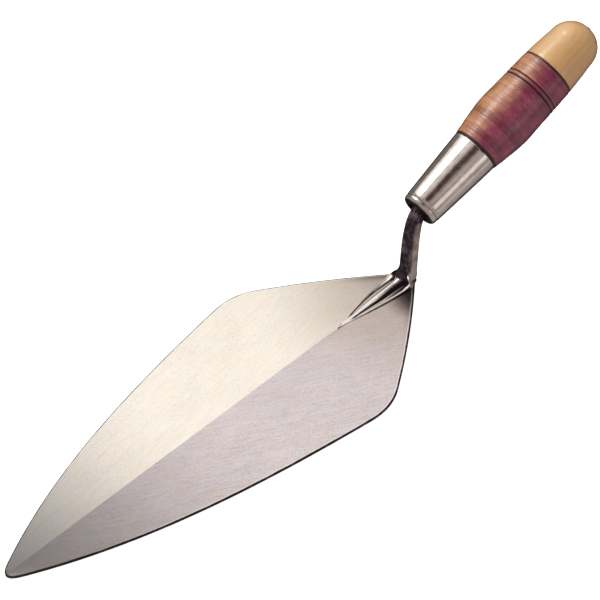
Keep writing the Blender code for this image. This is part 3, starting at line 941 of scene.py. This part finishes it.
def forged_bar():
    """Foot and shank: bright on the ground crests, dark mottled forge scale on shank and bend, and
    painted shade, near black, in the hollows beside the rib.
    """
    n = new_material("forged_bar")
    place = n.coords()
    mottle = n.noise(place, 420.0, 5.0, 0.65)
    patch = n.noise(place, 150.0, 3.0)
    scale_and_shade = n.math("ADD", n.attribute("scale_and_shade"), n.swing(mottle, 0.35))
    dark = n.ramp(scale_and_shade, 0.5, 0.8)
    grey = n.ramp(scale_and_shade, 0.12, 0.3)
    scale_tone = n.weigh((mottle, 0.6), (patch, 0.4))
    scale_colour = n.blend(n.ramp(scale_tone, 0.42, 0.70), rgb(0.030, 0.018, 0.030),
                           rgb(0.32, 0.25, 0.29))
    side_colour = n.blend(n.ramp(patch, 0.35, 0.65), rgb(0.30, 0.27, 0.25), rgb(0.62, 0.57, 0.53))
    streak = streaks(n, place, 0.0, 1800.0, 60.0)
    bright = n.blend(streak, rgb(0.66, 0.61, 0.58), rgb(0.95, 0.92, 0.88))
    colour = n.blend(grey, bright, side_colour)
    colour = n.blend(dark, colour, scale_colour)
    # Near black above 0.9: soot on the bend, and the painted shade in the hollows beside the rib.
    colour = n.blend(n.ramp(scale_and_shade, 0.90, 1.15, 0.0, 0.93), colour, rgb(0.010, 0.005, 0.009))
    metal = n.ramp(dark, 0.0, 1.0, 1.0, 0.7)
    roughness = n.ramp(dark, 0.0, 1.0, 0.22, 0.5)
    return n.finish(Base_Color=colour, Metallic=metal, Roughness=roughness,
                    Normal=n.bump(mottle, n.ramp(dark, 0.0, 1.0, 0.04, 0.35), 0.0004))


def polished_sleeve():
    """Ferrule: polished steel with faint lengthwise lines and small scuffs."""
    n = new_material("polished_sleeve")
    place = n.handle_coords()
    x, y, z = n.axes(place)
    angle = n.math("ARCTAN2", y, x)
    lines = n.noise(n.vector(n.math("MULTIPLY", angle, 22.0), n.math("MULTIPLY", z, 30.0), 0.0),
                    1.0, 5.0, 0.7)
    scuffs = n.noise(place, 300.0, 4.0)
    tone = n.weigh((lines, 0.6), (scuffs, 0.4))
    colour = n.blend(n.ramp(tone, 0.3, 0.7), rgb(0.62, 0.56, 0.52), rgb(0.98, 0.94, 0.89))
    # Painted shade, near black, on the mouth's end face, where the swaged lip faces away from the
    # light.
    mouth = n.math("ADD", z, n.swing(scuffs, 0.0008))
    colour = n.blend(n.ramp(mouth, 0.0013, 0.0004), colour, rgb(0.035, 0.022, 0.028))
    # Painted shade along the bead's crease.
    bead = n.ramp(n.gap(z, FERRULE_BEAD * MM), 0.0005, 0.0001, 0.0, 0.45)
    colour = n.blend(bead, colour, rgb(0.06, 0.045, 0.045))
    return n.finish(Base_Color=colour, Metallic=1.0, Roughness=n.ramp(scuffs, 0.3, 0.7, 0.12, 0.19),
                    Normal=n.bump(lines, 0.12, 0.0003))


def washer_steel():
    """Butt washer: plain turned steel."""
    n = new_material("washer_steel")
    place = n.handle_coords()
    x, y, _ = n.axes(place)
    radius = n.length(x, y)
    rings = n.noise(n.vector(n.math("MULTIPLY", radius, 4000.0), 0.0, 0.0), 1.0, 3.0)
    colour = n.blend(rings, rgb(0.42, 0.40, 0.38), rgb(0.66, 0.64, 0.60))
    return n.finish(Base_Color=colour, Metallic=1.0, Roughness=n.ramp(rings, 0.3, 0.7, 0.3, 0.45),
                    Normal=n.bump(rings, 0.15, 0.0002))


def lacquered_leather():
    """Stacked leather: each washer its own shade, with fine edge fibres under clear lacquer, and
    painted light: pale tan on the lit side, deep red on the shaded side.
    """
    n = new_material("lacquered_leather")
    place = n.handle_coords()
    x, y, z = n.axes(place)
    angle = n.math("ARCTAN2", y, x)
    stacked = n.math("DIVIDE", n.math("SUBTRACT", z, STACK_START * MM), WASHER_PITCH * MM)
    index = n.math("FLOOR", stacked)
    own = n.add("ShaderNodeTexWhiteNoise", {"noise_dimensions": "1D"}, W=index).outputs["Value"]
    fibre = n.noise(n.vector(n.math("MULTIPLY", angle, 9.0), n.math("MULTIPLY", z, 2400.0), index),
                    1.0, 4.0, 0.65)
    cloud = n.noise(place, 130.0, 4.0)
    grain = n.noise(place, 1500.0, 3.0)
    shade = n.weigh((own, 0.18), (cloud, 0.65), (fibre, 0.35))
    dark = n.blend(n.ramp(shade, 0.35, 0.85), rgb(0.14, 0.010, 0.040), rgb(0.36, 0.060, 0.130))
    pale = n.blend(n.ramp(shade, 0.35, 0.85), rgb(0.32, 0.115, 0.045), rgb(0.62, 0.30, 0.135))
    # Painted light: the pale tan on this side stands in for the key light, the deep red for shade.
    lit_side = n.weigh((y, LIT_SIDE.y), (x, -LIT_SIDE.x))
    lit_side = n.math("DIVIDE", lit_side, GRIP_RADIUS * MM)
    lit_side = n.math("ADD", lit_side, n.math("MULTIPLY", n.math("SUBTRACT", shade, 0.6), 0.7))
    colour = n.blend(n.ramp(lit_side, 0.25, 0.95), dark, pale)
    fleck = n.ramp(n.math("MULTIPLY", fibre, cloud), 0.30, 0.42)
    colour = n.blend(n.math("MULTIPLY", fleck, 0.4), colour, rgb(0.52, 0.26, 0.17))
    off_middle = n.gap(n.math("FRACT", stacked), 0.5)
    joint = n.math("MULTIPLY", n.ramp(off_middle, 0.43, 0.49), n.ramp(cloud, 0.40, 0.60, 0.05, 0.42))
    colour = n.blend(joint, colour, rgb(0.05, 0.012, 0.018))
    # Painted shade, near black, in the two grooves.
    for groove in GROOVES:
        cut = n.ramp(n.gap(z, groove * MM), 0.0007, 0.00025, 0.0, 0.92)
        colour = n.blend(cut, colour, rgb(0.022, 0.006, 0.008))
    height = n.weigh((fibre, 0.6), (grain, 0.4))
    return n.finish(Base_Color=colour, Roughness=n.ramp(cloud, 0.3, 0.7, 0.32, 0.45),
                    Coat_Weight=1.0, Coat_Roughness=0.18,
                    Normal=n.bump(height, 0.35, 0.0005))


def turned_hardwood():
    """Butt cap: pale turned hardwood with grain along the handle and a thin lacquer."""
    n = new_material("turned_hardwood")
    place = n.handle_coords()
    x, y, z = n.axes(place)
    bend = n.noise(n.vector(x, y, n.math("MULTIPLY", z, 0.2)), 90.0, 2.0)
    growth = n.math("FRACT", n.weigh((x, 240.0), (bend, 4.0)))
    growth = n.math("MULTIPLY", n.ramp(growth, 0.0, 0.75), n.ramp(growth, 0.8, 1.0, 1.0, 0.0))
    pores = n.noise(n.vector(n.math("MULTIPLY", x, 5200.0), n.math("MULTIPLY", y, 5200.0),
                             n.math("MULTIPLY", z, 260.0)), 1.0, 3.0, 0.6)
    cloud = n.noise(place, 70.0, 3.0)
    tone = n.weigh((growth, 0.22), (cloud, 0.6))
    colour = n.blend(tone, rgb(0.83, 0.54, 0.25), rgb(0.62, 0.35, 0.14))
    patches = n.ramp(n.noise(place, 110.0, 3.0), 0.4, 0.65)
    flush = n.math("MULTIPLY", n.ramp(z, FLUSH_START, FLUSH_END), patches)
    colour = n.blend(n.math("MULTIPLY", flush, 0.5), colour, rgb(0.62, 0.25, 0.10))
    colour = n.blend(n.math("MULTIPLY", n.ramp(pores, 0.55, 0.7), 0.35), colour,
                     rgb(0.34, 0.18, 0.08))
    return n.finish(Base_Color=colour, Roughness=n.ramp(pores, 0.4, 0.7, 0.34, 0.46),
                    Coat_Weight=1.0, Coat_Roughness=0.17, Coat_IOR=1.6,
                    Normal=n.bump(pores, 0.12, 0.0003))


def dark_fibre():
    """Spacers: dark vulcanised fibre under the same lacquer."""
    n = new_material("dark_fibre")
    place = n.handle_coords()
    speck = n.noise(place, 900.0, 3.0)
    colour = n.blend(speck, rgb(0.018, 0.006, 0.006), rgb(0.06, 0.022, 0.018))
    return n.finish(Base_Color=colour, Roughness=n.ramp(speck, 0.3, 0.7, 0.35, 0.5),
                    Coat_Weight=0.4, Coat_Roughness=0.25, Normal=n.bump(speck, 0.1, 0.0002))


def core_wood():
    """Ferrule plug: plain unfinished wood."""
    n = new_material("core_wood")
    place = n.coords()
    grain = n.noise(place, 400.0, 4.0)
    colour = n.blend(grain, rgb(0.36, 0.22, 0.11), rgb(0.52, 0.36, 0.20))
    return n.finish(Base_Color=colour, Roughness=n.ramp(grain, 0.3, 0.7, 0.65, 0.8),
                    Normal=n.bump(grain, 0.2, 0.0004))


# ---------------------------------------------------------------- stage, light and camera

FLOOR_DROP = 0.0004
FLOOR_HALF_SIZE = 6.0
SKY_BASE = (0.36, 0.31, 0.30)
# Soft round patches of sky, each laid over those before it: azimuth, elevation, how many degrees
# off that direction it starts and is full, and its colour.
SKY_PATCHES = (
    (180, 80, 34, 14, (0.72, 0.68, 0.66)),    # ceiling
    (156, 49, 38, 22, (1.02, 1.00, 0.97)),    # wide bank behind
    (-168, 63, 17, 8, (5.2, 5.0, 4.7)),       # bright lamp high behind
    (185, 14, 20, 10, (0.16, 0.14, 0.12)),    # dark gap low behind
    (-6, 56, 20, 9, (0.07, 0.035, 0.04)),     # dark gap over the front
    (3, 25, 10, 4, (0.52, 0.45, 0.43)),       # small panel in front
    (27, 30, 20, 10, (0.04, 0.025, 0.03)),    # dark gap to the right of it
    (10, -1, 14, 6, (1.0, 0.92, 0.86)),       # glow on the horizon in front
    (24, -34, 9, 4, (0.60, 0.52, 0.46)),      # weaker glow under it
    (150, -45, 62, 30, (0.05, 0.045, 0.045)),  # dark ground behind
)

def make_floor():
    """Make the pale floor that the trowel lies on."""
    bm = bmesh.new()
    bmesh.ops.create_grid(bm, x_segments=8, y_segments=8, size=FLOOR_HALF_SIZE)
    bmesh.ops.translate(bm, verts=bm.verts, vec=(0, 0, -FLOOR_DROP))
    floor = object_from_bmesh("studio_floor", bm)
    n = new_material("studio_white")
    white = n.finish(Base_Color=rgb(0.5, 0.5, 0.5), Roughness=0.9, Specular_IOR_Level=0.1,
                     Emission_Color=rgb(1.0, 1.0, 1.0), Emission_Strength=1.0)
    floor.data.materials.append(white)
    floor.visible_glossy = False
    floor.visible_diffuse = False
    floor.visible_shadow = False


def direction(azimuth, elevation):
    """Return the unit vector at a bearing (0 is towards -Y, positive towards +X)."""
    a, e = math.radians(azimuth), math.radians(elevation)
    return Vector((math.sin(a) * math.cos(e), -math.cos(a) * math.cos(e), math.sin(e)))


def make_world():
    """Make a soft studio sky: a bright bank behind and above, a dark gap over the front."""
    n = Nodes(bpy.data.worlds.new("studio_sky"), "Background")
    coords = n.add("ShaderNodeTexCoord").outputs["Generated"]
    sky = rgb(*SKY_BASE)
    for azimuth, elevation, wide, tight, colour in SKY_PATCHES:
        facing = n.add("ShaderNodeVectorMath", {"operation": "DOT_PRODUCT"}, _0=coords,
                       _1=direction(azimuth, elevation)).outputs["Value"]
        mask = n.ramp(facing, math.cos(math.radians(wide)), math.cos(math.radians(tight)))
        sky = n.blend(mask, sky, rgb(*colour))
    bpy.context.scene.world = n.finish(Color=sky, Strength=1.0)


def make_light(name, azimuth, elevation, size, power, aim, colour):
    """Make a square soft light, a metre from a point and turned to it, unseen in gloss."""
    data = bpy.data.lights.new(name, "AREA")
    data.shape = "SQUARE"
    data.size = size
    data.energy = power
    data.color = colour
    light = bpy.data.objects.new(name, data)
    light.location = aim + direction(azimuth, elevation)
    light.rotation_euler = (aim - light.location).to_track_quat("-Z", "Y").to_euler()
    light.visible_glossy = False
    bpy.context.scene.collection.objects.link(light)


def make_camera():
    """Make the camera: a long lens from the toe's near side, looking down, tilted sideways."""
    aim = Vector((-51.3 + HEEL_X, 33.8, 0.0)) * MM
    bearing = direction(-29.98, 42.65)
    distance = 2.5204
    roll = math.radians(-15.0)
    data = bpy.data.cameras.new("studio_camera")
    data.sensor_width = 36.0
    data.lens = 291.69
    data.clip_start = 0.1
    data.clip_end = 50.0
    camera = bpy.data.objects.new("studio_camera", data)
    look = (-bearing).to_track_quat("-Z", "Y").to_matrix().to_4x4()
    camera.matrix_world = (Matrix.Translation(aim + bearing * distance) @ look
                           @ Matrix.Rotation(roll, 4, "Z"))
    bpy.context.scene.collection.objects.link(camera)
    bpy.context.scene.camera = camera


# ---------------------------------------------------------------- build

make_camera()
make_forging([ground_steel(), rim_steel(), forged_bar()])
make_ferrule(polished_sleeve())
fibre = dark_fibre()
make_spacer("front_spacer_ring", "front_spacer", FERRULE_LENGTH + SPACER_GAP, fibre)
make_leather_stack(lacquered_leather())
make_spacer("rear_spacer_ring", "rear_spacer", CAP_START - SPACER_GAP - SPACER_THICKNESS, fibre)
make_butt_cap(turned_hardwood())
make_butt_washer(washer_steel())

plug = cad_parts["ferrule_plug"]
plug.data.materials.clear()
plug.data.materials.append(core_wood())

make_floor()
make_world()
handle_middle = Vector((HEEL_X + 75.0, 0.0, 55.0)) * MM
make_light("back_softbox", -160, 60, 0.4, 3.2, handle_middle, (1.0, 0.93, 0.82))
make_light("front_fill", 12, 28, 0.6, 1.6, handle_middle, (1.0, 0.88, 0.76))
bpy.context.scene.view_settings.view_transform = "Standard"
